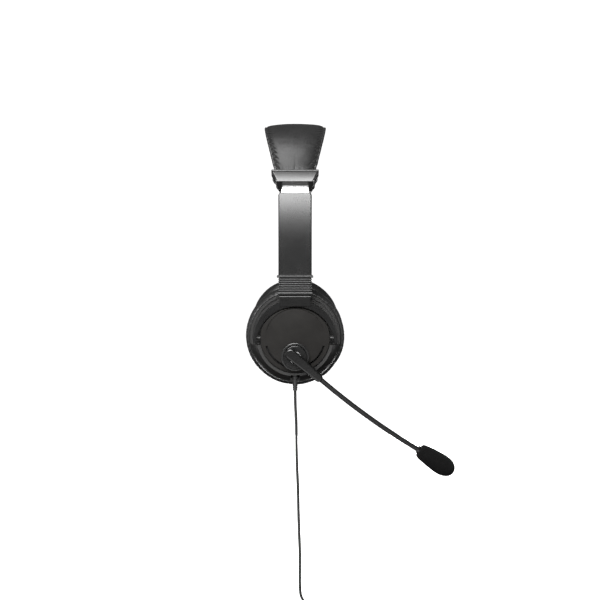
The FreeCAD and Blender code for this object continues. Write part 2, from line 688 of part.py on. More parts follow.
def cushion_ring(inset):
    """The cushion's section, a crowned pad with a flat face on the ear, turned round."""
    hole, rim = CUSHION_HOLE_R + inset, CUSHION_R - inset
    front, back = CUSHION_FRONT + inset, CUSHION_BACK - 0.2 - inset
    soft = 6.0 - inset
    corners = [
        (hole, back), (rim - 2.4, back), (rim, back - 3.4), (rim, front + soft),
        (rim - 0.29 * soft, front + 0.29 * soft), (rim - soft, front),
        (hole + soft, front), (hole + 0.29 * soft, front + 0.29 * soft), (hole, front + soft),
    ]
    return turned(corners)


def ear_cushion():
    """The leatherette cover and the foam ring inside it."""
    foam = cushion_ring(SKIN)
    return {"ear_cushion": one(cushion_ring(0).cut(foam)), "cushion_foam": one(foam)}


def cup_pieces(with_microphone):
    pieces = {
        "cup_housing": cup_housing(with_microphone),
        "face_cover": face_cover(with_microphone),
        "vent_mesh": vent_mesh(),
        "baffle": baffle(),
        "ear_scrim": drum(CUSHION_HOLE_R - 0.05, 67.85, 68.1),
        "cup_screws": cup_screws(),
    }
    pieces.update(driver_pieces())
    pieces.update(ear_cushion())
    return pieces


# Microphone boom
def along(angle, start, reach, out):
    """A point at a distance from a start point, in the boom's plane."""
    return spot(start[0] + reach * math.cos(angle), out, start[1] + reach * math.sin(angle))


def hub_pieces():
    """What the boom turns on: the hub on the cup and the screw that holds the rotor."""
    hub = drum(HUB_R, 83.0, 84.9, 0, HUB_Z).fuse([
        pipe(HUB_R, ROTOR_R + GAP, 84.9, 87.2, 0, HUB_Z),
        drum(3.0, 84.9, 88.4, 0, HUB_Z),
        drum(6.8, 81.0, 83.0, 0, HUB_Z),
    ])
    hub = eased(hub.removeSplitter(), 0.5, lambda e: edge_box(e)[2] > 87.1 and
                edge_box(e)[3] < 87.3 and edge_box(e)[1] - edge_box(e)[0] > 2 * HUB_R - 1)
    hub = hub.cut(drum(0.95, 82, 90, 0, HUB_Z))
    screw = drum(4.2, 88.4, 89.7, 0, HUB_Z).fuse(drum(0.95, 83, 89, 0, HUB_Z))
    screw = screw.cut(slab(-2.2, 2.2, 89.2, 90, HUB_Z - 0.35, HUB_Z + 0.35))
    return {"boom_hub": one(hub), "boom_screw": one(screw)}


def lever_block(out_a, out_b, inset=0.0):
    """The tapering lever, rounded at both ends."""
    c, s = math.cos(LEVER_ANGLE), math.sin(LEVER_ANGLE)

    def at(reach, side):
        return reach * c - side * s, HUB_Z + reach * s + side * c

    near, far = 3.8 - inset, 2.85 - inset
    core = plate([at(-4.0, near), at(-4.0, -near), at(LEVER_LENGTH - 2.9, -far),
                  at(LEVER_LENGTH - 2.9, far)], out_a, out_b)
    x, z = at(-4.0, 0)
    back = drum(near, out_a, out_b, x, z)
    x, z = at(LEVER_LENGTH - 2.9, 0)
    return core.fuse([back, drum(far, out_a, out_b, x, z)]).removeSplitter()


def boom_pieces():
    tip = along(LEVER_ANGLE, (0, HUB_Z), 14.0, BOOM_OUT)
    mouth = along(LEVER_ANGLE, (0, HUB_Z), 20.0, BOOM_OUT)
    middle = spot(BOOM_MIDDLE[0], BOOM_OUT, BOOM_MIDDLE[1])
    end = spot(BOOM_END[0], BOOM_OUT, BOOM_END[1])
    curve = Part.Arc(mouth, middle, end).toShape()
    heading = (mouth - tip).normalize()
    tube = Part.Wire([curve]).makePipeShell(
        [Part.Wire([Part.Circle(mouth, heading, BOOM_R).toShape()])], True, False)
    tube = one(tube.fuse(rod(BOOM_R, 6.0, tip, heading)))

    rotor = drum(ROTOR_R, 85.1, 89.4, 0, HUB_Z)
    rotor = eased(rotor, 0.5, lambda e: edge_box(e)[2] > 89.3)
    rotor = rotor.fuse(lever_block(89.0, BOOM_OUT))
    rotor = rotor.cut([drum(3.0 + RUNNING, 80, 90, 0, HUB_Z), drum(4.6, 88.3, 92.5, 0, HUB_Z)])
    cover = eased(lever_block(BOOM_OUT, 94.6), 1.3, lambda e: edge_box(e)[2] > 94.5)
    foam_start = (BOOM_END[0] - 2.6, BOOM_END[1] + 1.6)

    def foam_at(reach):
        return along(FOAM_ANGLE, foam_start, reach, BOOM_OUT)

    way = (foam_at(1) - foam_at(0)).normalize()
    neck = rod(2.7, 5.4, foam_at(-2.6), way).fuse(rod(4.1, 9.0, foam_at(2.8), way))
    cavity = rod(3.05, 6.0, foam_at(8.8), way)
    neck = neck.cut([cavity, tube])
    capsule = rod(3.0, 2.6, foam_at(9.0), way)
    foam = windscreen(foam_at, way).cut([rod(4.15, 9.2, foam_at(2.8), way),
                                         rod(2.75, 7.0, foam_at(-3.0), way)])
    return {
        "boom_rotor": one(rotor.cut(tube)),
        "lever_cover": one(cover.cut(tube)),
        "boom_tube": tube,
        "mic_holder": one(neck),
        "mic_capsule": capsule,
        "windscreen": one(foam),
    }


def windscreen(foam_at, way):
    """The egg-shaped foam, fuller towards its far end."""
    side = way.cross(AWAY).normalize()
    radii = [(0.0, 0.62), (0.12, 0.8), (0.35, 0.93), (0.62, 1.0), (0.84, 0.84), (0.96, 0.45)]
    points = [foam_at(0)]
    points += [foam_at(share * FOAM_LENGTH) + side * (FOAM_R * r) for share, r in radii]
    points.append(foam_at(FOAM_LENGTH))
    curve = Part.BSplineCurve()
    curve.interpolate(Points=points[1:])
    edges = [Part.makeLine(points[0], points[1]), curve.toShape(),
             Part.makeLine(points[-1], points[0])]
    return Part.Face(Part.Wire(edges)).revolve(foam_at(0), way, 360)


# Cord
def relief_shape(grow=0.0):
    """The strain relief: a ribbed head in the housing's notch and a ribbed, tapering neck."""
    head_end = RELIEF_TOP - 4.6
    shape = rod(2.4 + grow, 5.0, spot(0, CORD_OUT, RELIEF_TOP), DOWN)
    for i in range(3):
        shape = shape.fuse(rod(2.9 + grow, 1.1, spot(0, CORD_OUT, RELIEF_TOP - 1.75 * i), DOWN))
    tall = head_end - RELIEF_END
    shape = shape.fuse(Part.makeCone(1.6 + grow, 1.4 + grow, tall, spot(0, CORD_OUT, head_end), DOWN))
    for i in range(5):
        z = head_end - 1.2 - i * (tall - 2.2) / 4
        radius = 1.95 - 0.07 * i + grow
        shape = shape.fuse(rod(radius, 1.0, spot(0, CORD_OUT, z), DOWN))
    return shape.removeSplitter()


def cord_tube():
    """Straight runs joined by arcs as large as each two runs allow."""
    points = [spot(x, out, z) for x, out, z in CORD_ROUTE]
    edges, radii, here = [], [], points[0]
    for before, at, after in zip(points, points[1:], points[2:]):
        a, b = (before - at), (after - at)
        turn = math.pi - a.getAngle(b)
        reach = 0.45 * min(a.Length, b.Length)
        radii.append(reach / math.tan(turn / 2))
        start, end = at + a.normalize() * reach, at + b.normalize() * reach
        to_middle = (a + b).normalize()
        sink = radii[-1] / math.cos(turn / 2) - radii[-1]
        edges += [Part.makeLine(here, start), Part.Arc(start, at + to_middle * sink, end).toShape()]
        here = end
    edges.append(Part.makeLine(here, points[-1]))
    path = Part.Wire(edges)
    round_ = Part.Wire([Part.Circle(points[0], points[1] - points[0], CORD_D / 2).toShape()])
    tube = path.makePipeShell([round_], True, True)
    want = math.pi * CORD_D**2 / 4 * path.Length
    print("cord radii", [round(r, 1) for r in radii])
    print("cord volume", round(tube.Volume, 1), "wanted", round(want, 1))
    return tube, path.Length


def coil_section(grow=0.0):
    """Half the thickness of the bundle of turns, across and along the coil's axis."""
    return COIL_LAYERS * CORD_D / 2 + grow, COIL_ROWS * CORD_D / 2 + grow


def cord_coil():
    across, deep = coil_section()
    middle = COIL_INNER + (COIL_LAYERS - 1) * CORD_D / 2
    ring = pipe(middle + across, middle - across, CORD_OUT - deep, CORD_OUT + deep, COIL_X, COIL_Z)
    return eased(ring, 1.5, lambda e: e.Length > 20 and e.BoundBox.YLength < 0.1)


def coil_tie():
    """The strap round the bundle, beside where the cord joins it."""
    across, deep = coil_section(0.02)
    middle = COIL_INNER + (COIL_LAYERS - 1) * CORD_D / 2
    x_a, x_b = COIL_X - 3.0, COIL_X + 3.0
    z = COIL_Z + middle
    outside = slab(x_a, x_b, CORD_OUT - deep - 0.8, CORD_OUT + deep + 0.8,
                   z - across - 1.9, z + across + 0.8)
    outside = eased(outside, 1.6, lambda e: edge_box(e)[1] - edge_box(e)[0] > 5)
    inside = slab(x_a - 1, x_b + 1, CORD_OUT - deep, CORD_OUT + deep,
                  z - across - 1.1, z + across)
    return one(outside.cut(inside))


def cord_tail():
    """The short end from the coil to the plug."""
    start = spot(PLUG_X, CORD_OUT, COIL_Z)
    return rod(CORD_D / 2, COIL_Z - PLUG_TOP + 4.0, start, DOWN)


def plug_pieces(tail):
    """A generic USB-A plug: moulded body with strain relief, steel shell and tongue."""
    relief = Part.makeCone(1.7, 2.4, 8.0, spot(PLUG_X, CORD_OUT, PLUG_TOP), DOWN)
    for i in range(3):
        rib = rod(2.2 + 0.2 * i, 0.9, spot(PLUG_X, CORD_OUT, PLUG_TOP - 1 - 2 * i), DOWN)
        relief = relief.fuse(rib)
    top = PLUG_TOP - 8.0
    body = slab(PLUG_X - 7.6, PLUG_X + 7.6, CORD_OUT - 3.9, CORD_OUT + 3.9, top - 22.0, top)
    body = eased(body, 1.6, lambda e: edge_box(e)[5] - edge_box(e)[4] > 20)
    body = eased(body, 1.2, lambda e: edge_box(e)[4] > top - 0.1)
    shell_top, shell_end = top - 12.0, top - 34.0
    metal = slab(PLUG_X - 6.0, PLUG_X + 6.0, CORD_OUT - 2.25, CORD_OUT + 2.25, shell_end, shell_top)
    metal = metal.cut(slab(PLUG_X - 5.7, PLUG_X + 5.7, CORD_OUT - 1.95, CORD_OUT + 1.95,
                           shell_end - 1, top - 22.0))
    windows = [slab(PLUG_X + x - 1.1, PLUG_X + x + 1.1, CORD_OUT - 5, CORD_OUT + 5,
                    shell_end + 4.6, shell_end + 6.8) for x in (-2.3, 2.3)]
    metal = metal.cut(windows)
    tongue = slab(PLUG_X - 5.6, PLUG_X + 5.6, CORD_OUT - 1.9, CORD_OUT + 0.0,
                  shell_end + 0.4, top - 22.0)
    return {
        "plug_body": one(body.fuse(relief).cut([metal, tail])),
        "plug_shell": one(metal),
        "plug_tongue": one(tongue),
    }


def cord_pieces():
    tube, routed = cord_tube()
    middle = COIL_INNER + (COIL_LAYERS - 1) * CORD_D / 2
    tail = cord_tail()
    turns = (CORD_LENGTH - routed - tail.BoundBox.ZLength) / (2 * math.pi * middle)
    print("cord", round(routed), "mm routed,", round(turns, 1), "turns in the coil")
    _, out, cord_top = CORD_ROUTE[0]
    relief = relief_shape().cut(rod(CORD_D / 2, 5, spot(0, out, cord_top), DOWN))
    pieces = {"strain_relief": one(relief), "cord": one(tube), "cord_coil": one(cord_coil()),
              "coil_tie": coil_tie(), "cord_tail": tail}
    pieces.update(plug_pieces(tail))
    return pieces


def write(name, shape):
    if not shape.isValid():
        raise ValueError(name + " isn't a valid solid")
    shape.exportStep(f"parts/{name}.step")


def main():
    os.makedirs("parts", exist_ok=True)
    parts = {"headband_spring": headband_spring()}
    parts.update(pad_pieces())
    outer, inner = end_cap()
    screws = cap_screws()
    outer, inner = one(outer.cut(screws)), one(inner.cut(screws))
    parts["end_cap_outer_mic"], parts["end_cap_inner_mic"] = outer, inner
    parts["end_cap_outer_plain"], parts["end_cap_inner_plain"] = mirrored(outer), mirrored(inner)
    parts["end_cap_screws"] = Part.makeCompound(screws + [mirrored(s) for s in screws])
    arm = arm_pieces()
    parts.update({name + "_mic": shape for name, shape in arm.items()})
    parts.update({name + "_plain": mirrored(shape) for name, shape in arm.items()})
    parts.update({name + "_mic": shape for name, shape in cup_pieces(True).items()})
    parts.update({name + "_plain": mirrored(s) for name, s in cup_pieces(False).items()})
    parts.update(hub_pieces())
    parts.update(boom_pieces())
    parts.update(cord_pieces())
    for name, shape in parts.items():
        write(name, shape)
    print(len(parts), "sub-parts")


main()
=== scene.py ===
import math
import random

import bmesh
import bpy
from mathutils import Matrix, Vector, noise


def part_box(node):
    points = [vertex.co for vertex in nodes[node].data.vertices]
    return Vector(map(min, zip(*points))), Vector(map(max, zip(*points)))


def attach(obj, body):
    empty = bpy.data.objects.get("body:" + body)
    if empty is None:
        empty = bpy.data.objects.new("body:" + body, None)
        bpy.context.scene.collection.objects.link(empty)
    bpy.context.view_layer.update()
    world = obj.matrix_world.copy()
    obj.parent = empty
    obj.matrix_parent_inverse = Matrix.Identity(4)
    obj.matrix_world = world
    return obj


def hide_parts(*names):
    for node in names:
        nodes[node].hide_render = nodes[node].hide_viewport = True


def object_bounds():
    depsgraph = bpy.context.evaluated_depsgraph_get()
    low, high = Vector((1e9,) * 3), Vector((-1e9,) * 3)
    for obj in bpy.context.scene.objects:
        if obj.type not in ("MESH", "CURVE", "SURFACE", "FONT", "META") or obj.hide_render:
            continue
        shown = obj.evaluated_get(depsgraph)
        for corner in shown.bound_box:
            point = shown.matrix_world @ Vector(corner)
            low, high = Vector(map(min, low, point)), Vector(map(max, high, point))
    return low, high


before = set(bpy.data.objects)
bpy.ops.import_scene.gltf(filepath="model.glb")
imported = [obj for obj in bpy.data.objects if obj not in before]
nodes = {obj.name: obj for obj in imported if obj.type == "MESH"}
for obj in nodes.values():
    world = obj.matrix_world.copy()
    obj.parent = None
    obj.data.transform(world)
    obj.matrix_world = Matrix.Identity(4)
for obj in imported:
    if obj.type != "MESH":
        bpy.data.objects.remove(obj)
CAD_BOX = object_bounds()
MM = 0.001


# Places on the headset, read from the frame
def box_middle(node):
    low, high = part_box(node)
    return (low + high) / 2


CUP_Z = box_middle("ear_cushion_mic").z
SIDES = {"mic": -1, "plain": 1}   # each cup, and its side of the head as the sign of y


# ---------------------------------------------------------------- materials
class Recipe:
    """A material's node tree, with a short call for each kind of node."""

    def __init__(self, name):
        self.material = bpy.data.materials.new(name)
        self.material.use_nodes = True
        self.tree = self.material.node_tree
        self.shader = self.tree.nodes["Principled BSDF"]
        self.place = self.node("ShaderNodeTexCoord").outputs["Object"]

    def node(self, kind, **settings):
        made = self.tree.nodes.new(kind)
        for key, value in settings.items():
            setattr(made, key, value)
        return made

    def link(self, source, target):
        self.tree.links.new(source, target)
        return target

    def stretch(self, x, y, z):
        mapping = self.node("ShaderNodeMapping")
        mapping.inputs["Scale"].default_value = (x, y, z)
        self.link(self.place, mapping.inputs["Vector"])
        return mapping.outputs["Vector"]

    def noise(self, size, detail=3.0, rough=0.55, vector=None):
        made = self.node("ShaderNodeTexNoise")
        made.inputs["Scale"].default_value = 1.0 / size
        made.inputs["Detail"].default_value = detail
        made.inputs["Roughness"].default_value = rough
        self.link(vector or self.place, made.inputs["Vector"])
        return made.outputs["Fac"]

    def cells(self, size, feature="F1"):
        made = self.node("ShaderNodeTexVoronoi", feature=feature)
        made.inputs["Scale"].default_value = 1.0 / size
        self.link(self.place, made.inputs["Vector"])
        return made.outputs["Distance"]

    def span(self, value, low, high, to_low, to_high):
        made = self.node("ShaderNodeMapRange")
        made.inputs["From Min"].default_value = low
        made.inputs["From Max"].default_value = high
        made.inputs["To Min"].default_value = to_low
        made.inputs["To Max"].default_value = to_high
        self.link(value, made.inputs["Value"])
        return made.outputs["Result"]

    def maths(self, operation, a, b):
        made = self.node("ShaderNodeMath", operation=operation)
        for socket, value in zip(made.inputs, (a, b)):
            if isinstance(value, (int, float)):
                socket.default_value = value
            else:
                self.link(value, socket)
        return made.outputs["Value"]

    def blend(self, value, dark, light):
        made = self.node("ShaderNodeMix", data_type="RGBA")
        self.link(value, made.inputs["Factor"])
        made.inputs["A"].default_value = (*dark, 1)
        made.inputs["B"].default_value = (*light, 1)
        return made.outputs["Result"]

    def bump(self, height, depth, strength=1.0, under=None):
        made = self.node("ShaderNodeBump")
        made.inputs["Strength"].default_value = strength
        made.inputs["Distance"].default_value = depth
        self.link(height, made.inputs["Height"])
        if under is not None:
            self.link(under, made.inputs["Normal"])
        return made.outputs["Normal"]

    def set(self, **values):
        for key, value in values.items():
            socket = self.shader.inputs[key.replace("_", " ")]
            if isinstance(value, (int, float, tuple)):
                socket.default_value = value
            else:
                self.link(value, socket)


def grey(level, warm=0.0):
    return (level * (1 + warm), level, level * (1 - warm))


def plastic(name, level, rough, grain=0.35 * MM, depth=0.01 * MM, warm=0.0, gloss=0.5):
    """Moulded plastic: a fine spark texture, with faint clouds in its colour and gloss."""
    r = Recipe(name)
    cloud = r.noise(9 * MM, 2.0)
    r.set(Base_Color=r.blend(r.span(cloud, 0.3, 0.7, 0, 1), grey(level * 0.88, warm),
                             grey(level * 1.12, warm)))
    fine = r.noise(grain, 4.0, 0.7)
    smudge = r.noise(14 * MM, 4.0, 0.6)
    r.set(Roughness=r.span(r.maths("ADD", r.maths("MULTIPLY", fine, 0.3), smudge), 0.45, 0.85,
                           rough - 0.012, rough + 0.02))
    r.set(Normal=r.bump(fine, depth))
    r.set(IOR=1.48, Specular_IOR_Level=gloss)
    return r.material


def leatherette(name, level=0.006):
    """Coated fabric: pebbled grain with fine creases between the pebbles."""
    r = Recipe(name)
    warp = r.noise(6 * MM, 2.0)
    pebble = r.cells(0.62 * MM, "SMOOTH_F1")
    crease = r.cells(1.5 * MM, "DISTANCE_TO_EDGE")
    worn = r.noise(16 * MM, 4.0, 0.6)
    r.set(Base_Color=r.blend(r.span(worn, 0.35, 0.7, 0, 1), grey(level * 0.8), grey(level * 1.3)))
    r.set(Roughness=r.span(r.maths("ADD", pebble, r.maths("MULTIPLY", warp, 0.5)), 0.1, 1.0,
                           0.30, 0.44))
    low = r.bump(r.span(crease, 0.0, 0.12, 0.0, 1.0), 0.02 * MM, 0.5)
    r.set(Normal=r.bump(pebble, 0.025 * MM, 0.8, low))
    r.set(IOR=1.5, Sheen_Weight=0.02, Sheen_Roughness=0.4)
    return r.material


def brushed_steel(name, rough):
    """Spring strip with fine lines along its length."""
    r = Recipe(name)
    lines = r.noise(1.0, 3.0, 0.6, r.stretch(9000, 90, 90))
    broad = r.noise(1.0, 2.0, 0.5, r.stretch(1500, 20, 20))
    both = r.maths("ADD", r.maths("MULTIPLY", lines, 0.6), r.maths("MULTIPLY", broad, 0.4))
    r.set(Base_Color=r.blend(r.span(both, 0.36, 0.56, 0, 1), grey(0.26), grey(0.45)))
    r.set(Roughness=r.span(both, 0.3, 0.7, rough - 0.06, rough + 0.1))
    r.set(Normal=r.bump(both, 0.008 * MM))
    r.set(Metallic=1.0)
    return r.material


def metal(name, level, rough, warm=0.0):
    """Plain metal with a fine grain and patches of duller gloss."""
    r = Recipe(name)
    fine = r.noise(0.25 * MM, 4.0, 0.7)
    r.set(Base_Color=r.blend(fine, grey(level * 0.85, warm), grey(level, warm)))
    r.set(Roughness=r.span(r.noise(2 * MM), 0.3, 0.7, rough - 0.05, rough + 0.08))
    r.set(Normal=r.bump(fine, 0.006 * MM))
    r.set(Metallic=1.0)
    return r.material


def foam(name, level, pore=0.7 * MM):
    """Open-cell foam: thin struts round the pores, with painted shade darkening each pore."""
    r = Recipe(name)
    cell = r.cells(pore, "F1")
    small = r.cells(pore * 0.45, "F1")
    both = r.maths("ADD", r.maths("MULTIPLY", cell, 0.65), r.maths("MULTIPLY", small, 0.35))
    # The colour darkens towards each cell's middle: painted shade in the pores
    r.set(Base_Color=r.blend(r.span(both, 0.15, 0.75, 0, 1), grey(level * 0.35), grey(level * 1.9)))
    r.set(Roughness=r.span(both, 0.0, 1.0, 0.95, 0.8))
    r.set(Normal=r.bump(both, 0.3 * MM, 0.9))
    r.set(Specular_IOR_Level=0.04, Sheen_Weight=0.01, Sheen_Roughness=0.7)
    return r.material


def rubber(name, level, rough, gloss=0.5):
    """Soft moulded or extruded jacket with a fine grain and dust."""
    r = Recipe(name)
    fine = r.noise(0.5 * MM, 4.0, 0.7)
    dust = r.noise(7 * MM, 5.0, 0.65)
    r.set(Base_Color=r.blend(r.span(dust, 0.4, 0.75, 0, 1), grey(level), grey(level * 1.7)))
    r.set(Roughness=r.span(r.maths("ADD", fine, dust), 0.7, 1.3, rough - 0.06, rough + 0.08))
    r.set(Normal=r.bump(fine, 0.02 * MM))
    r.set(IOR=1.5, Specular_IOR_Level=gloss)
    return r.material


def cloth(name, level=0.02, pitch=0.45 * MM, sheen=0.2):
    """A fine woven mesh: two crossed sets of threads, with painted shade in the gaps between them.
    """
    r = Recipe(name)
    waves = []
    for axis in ("X", "Z"):
        wave = r.node("ShaderNodeTexWave", wave_type="BANDS", bands_direction=axis)
        wave.inputs["Scale"].default_value = 0.3142 / pitch
        wave.inputs["Distortion"].default_value = 0.4
        r.link(r.place, wave.inputs["Vector"])
        waves.append(wave.outputs["Fac"])
    weave = r.maths("MAXIMUM", *waves)
    # Darker where neither set of threads lies: painted shade in the gaps of the weave
    r.set(Base_Color=r.blend(weave, grey(level * 0.25), grey(level * 1.5)))
    r.set(Roughness=r.span(r.noise(3 * MM), 0.3, 0.7, 0.75, 0.9))
    r.set(Normal=r.bump(weave, 0.12 * MM))
    r.set(Sheen_Weight=sheen, Sheen_Roughness=0.5, Specular_IOR_Level=0.3)
    return r.material


def build_materials():
    """Every material by its key, with the base level and roughness that set each apart."""
    return {
        "arm": plastic("satin_arm", 0.0040, 0.26, depth=0.002 * MM, gloss=0.47),
        "cap": plastic("satin_cap", 0.006, 0.29, depth=0.002 * MM, gloss=0.47),
        "collar": plastic("collar", 0.005, 0.30, depth=0.003 * MM, gloss=0.38),
        # The yoke's level is darker than the other plastic parts: painted shade for the groove
        # round the cup where it sits recessed
        "yoke": plastic("yoke", 0.0018, 0.28, depth=0.003 * MM, gloss=0.34),
        "cup": plastic("cup_shell", 0.0062, 0.36, warm=0.03, depth=0.005 * MM),
        "face": plastic("face_cover", 0.0100, 0.44, warm=0.05, depth=0.006 * MM, gloss=0.035),
        "hub": plastic("hub", 0.008, 0.22, depth=0.002 * MM),
        "lever": plastic("lever", 0.0026, 0.26, depth=0.003 * MM, gloss=0.4),
        "baffle": plastic("baffle", 0.02, 0.6),
        "leather": leatherette("leatherette"),
        "steel": brushed_steel("spring_strip", 0.32),
        "screw": metal("screw_steel", 0.6, 0.3),
        "nickel": metal("nickel", 0.8, 0.18, 0.02),
        "pin": metal("pin_steel", 0.04, 0.5),
        "magnet": metal("magnet", 0.35, 0.45),
        "foam": foam("windscreen_foam", 0.0013),
        "pad_foam": foam("inner_foam", 0.1, 1.0 * MM),
        "cord": rubber("cord_jacket", 0.002, 0.42),
        "relief": rubber("relief_rubber", 0.007, 0.45),
        "boom": rubber("boom_jacket", 0.0022, 0.42, gloss=0.24),
        "plug": rubber("plug_rubber", 0.02, 0.5),
        "strap": rubber("strap", 0.02, 0.7),
        "thread": rubber("thread", 0.02, 0.75),
        "scrim": cloth("scrim"),
        # Near-black and without sheen: the real mesh, darkened further as painted shade for the
        # cup's vent slits
        "mesh": cloth("vent_mesh", 0.001, 0.6 * MM, 0.0),
        "film": plastic("cone_film", 0.6, 0.3),
        "tongue": plastic("tongue_plastic", 0.8, 0.35),
    }


MATERIALS = build_materials()

NODE_MATERIALS = {
    "arm_cover": "arm", "end_cap_screws": "screw", "end_cap": "cap", "arm_collar": "collar",
    "yoke": "yoke", "cup_housing": "cup", "face_cover": "face", "boom_hub": "hub",
    "boom_rotor": "lever", "lever_cover": "lever", "mic_holder": "lever", "baffle": "baffle",
    "headband_spring": "steel", "arm_screws": "screw", "cup_screws": "screw",
    "boom_screw": "screw", "pivot_pins": "pin", "detent_spring": "screw",
    "driver_frame": "baffle", "driver_magnet": "magnet", "driver_cone": "film",
    "mic_capsule": "nickel", "plug_shell": "nickel", "plug_tongue": "tongue",
    "plug_body": "plug", "strain_relief": "relief", "coil_tie": "strap", "boom_tube": "boom",
    "ear_scrim": "scrim", "vent_mesh": "mesh", "pad_foam": "pad_foam",
    "cushion_foam": "pad_foam", "ear_cushion": "leather", "pad_cover": "leather",
    "windscreen": "foam", "cord": "cord",
}


def paint(thing, key):
    thing.data.materials.clear()
    thing.data.materials.append(MATERIALS[key])


def paint_nodes():
    """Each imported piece's material, by the longest name in the table that it starts with."""
    for name, thing in nodes.items():
        key = next(k for k in sorted(NODE_MATERIALS, key=len, reverse=True) if name.startswith(k))
        paint(thing, NODE_MATERIALS[key])


# ---------------------------------------------------------------- shape tools
def new_mesh(name, verts, faces, key, body):
    """A mesh object with its material and the body it moves with."""
    mesh = bpy.data.meshes.new(name)
    mesh.from_pydata(verts, [], faces)
    mesh.validate()
    tidy = bmesh.new()
    tidy.from_mesh(mesh)
    bmesh.ops.recalc_face_normals(tidy, faces=tidy.faces)
    tidy.to_mesh(mesh)
    tidy.free()
    for polygon in mesh.polygons:
        polygon.use_smooth = True
    piece = bpy.data.objects.new(name, mesh)
    bpy.context.scene.collection.objects.link(piece)
    mesh.materials.append(MATERIALS[key])
    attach(piece, body)
    return piece


def ring_faces(rows, count, closed_rows=False):
    """Quads between rows of points, each row a closed ring of count points."""
    faces = []
    last = rows if closed_rows else rows - 1
    for i in range(last):
        a, b = i * count, (i + 1) % rows * count
        faces += [(a + j, a + (j + 1) % count, b + (j + 1) % count, b + j) for j in range(count)]
    return faces


def smooth_run(before, start, end, after, steps):
    """Points of a smooth curve from start up to end, which isn't one of them."""
    run = []
    for step in range(steps):
        t = step / steps
        bend = 2 * before - 5 * start + 4 * end - after
        twist = 3 * start - before - 3 * end + after
        run.append(0.5 * (2 * start + (end - before) * t + bend * t**2 + twist * t**3))
    return run


def loop_curve(points, count):
    """A smooth closed loop through a few (a, b) points, as count evenly spaced points."""
    fine = []
    total = len(points)
    for i in range(total):
        fine += smooth_run(*(Vector(points[(i + k) % total]) for k in (-1, 0, 1, 2)), 24)
    return even_points(fine + fine[:1], count + 1)[:-1]


def even_points(line, count):
    """The line of points walked in count equally spaced points."""
    lengths = [0.0]
    for a, b in zip(line, line[1:]):
        lengths.append(lengths[-1] + (b - a).length)
    found, i = [], 0
    for k in range(count):
        want = lengths[-1] * k / (count - 1)
        while i < len(line) - 2 and lengths[i + 1] < want:
            i += 1
        run = max(lengths[i + 1] - lengths[i], 1e-12)
        found.append(line[i].lerp(line[i + 1], (want - lengths[i]) / run))
    return found


def ripple(*place):
    return noise.noise(Vector(place))


def gathers(along, off, pitch, depth, reach, seed, slant=0.0):
    """How far a gathered skin dips at a place along a seam and off it, in metres."""
    lean = (along - slant * off) / pitch
    lean += 0.35 * ripple(lean * 0.31, seed, 0.5)
    valley = (0.5 + 0.5 * math.cos(2 * math.pi * lean)) ** 3.5
    strength = 0.65 + 0.5 * ripple(lean * 0.47 + 9.0, seed, 3.5)
    fade = math.exp(-(off / (reach * (0.8 + 0.5 * ripple(lean * 0.8, seed, 7.7)))) ** 2)
    held = min(1.0, 0.2 + off / (1.6 * MM))
    return -depth * valley * max(strength, 0.1) * fade * held


def stitches(name, places, ways, lifts, body, long=2.2 * MM, thick=0.16 * MM):
    """Short threads lying on a seam, one at each place, in one mesh."""
    verts, faces = [], []
    around, rows = 6, 5
    for place, way, lift in zip(places, ways, lifts):
        side = way.cross(lift).normalized()
        first = len(verts)
        for i in range(rows):
            share = i / (rows - 1)
            middle = place + way * ((share - 0.5) * long)
            middle += lift * (thick * (0.9 * math.sin(math.pi * share) - 0.4))
            for j in range(around):
                angle = 2 * math.pi * j / around
                radius = thick * (1.0 if 0 < i < rows - 1 else 0.55)
                verts.append(middle + (side * math.cos(angle) + lift * math.sin(angle)) * radius)
        faces += [tuple(first + v for v in f) for f in ring_faces(rows, around)]
        faces.append(tuple(first + j for j in reversed(range(around))))
        faces.append(tuple(first + (rows - 1) * around + j for j in range(around)))
    return new_mesh(name, verts, faces, "thread", body)


# ---------------------------------------------------------------- headband pad
SHOULDER_R = 48 * MM              # the band's bend over the ears
SHOULDER_UP = 88 * MM             # where that bend starts, above the middle of the cups
BAND_THICK = 1 * MM
PAD_END = math.radians(59.5)      # the pad's ends, as angles along the arch from the crown
PAD_LIP = math.radians(57.0)      # where the end caps begin
PAD_HALF_END = 14.7 * MM          # half the pad's width at its ends, and what the crown has more
PAD_HALF_MORE = 8.5 * MM
PAD_NARROW = math.radians(54.0)   # from here on the pad is as narrow as at its ends
FLANGE = 1.7 * MM                 # sewn edge outside each seam
FLANGE_HALF = 0.65 * MM           # half its thickness
GATHER_PITCH = 5.2 * MM
GATHER_DEPTH = 1.7 * MM
GATHER_REACH = 2.9 * MM           # how far the gathers run in from a seam
PAD_ROWS = 430
FLANGE_WAVE, FLANGE_SHAKE = 0.16 * MM, 0.12 * MM
BROAD_DENT, FINE_DENT = 0.22 * MM, 0.07 * MM
PLEAT_DEPTH, PLEAT_WIDTH, PLEAT_REACH = 0.28 * MM, 0.75 * MM, 1.8 * MM   # at the end caps


def band_arch():
    """The band's crown and shoulder arcs, worked out from the spring's box."""
    low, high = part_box("headband_spring")
    top, out = high.z - BAND_THICK / 2, high.y - BAND_THICK / 2
    shoulder_out, shoulder_z = out - SHOULDER_R, CUP_Z + SHOULDER_UP
    rise = top - shoulder_z
    crown_r = (shoulder_out**2 + rise**2 - SHOULDER_R**2) / (2 * (rise - SHOULDER_R))
    crown_z = top - crown_r
    tangent = math.atan2(shoulder_out, shoulder_z - crown_z)
    return shoulder_out, shoulder_z, crown_r, crown_z, tangent


SHOULDER_OUT, SHOULDER_Z, CROWN_R, CROWN_Z, TANGENT = band_arch()


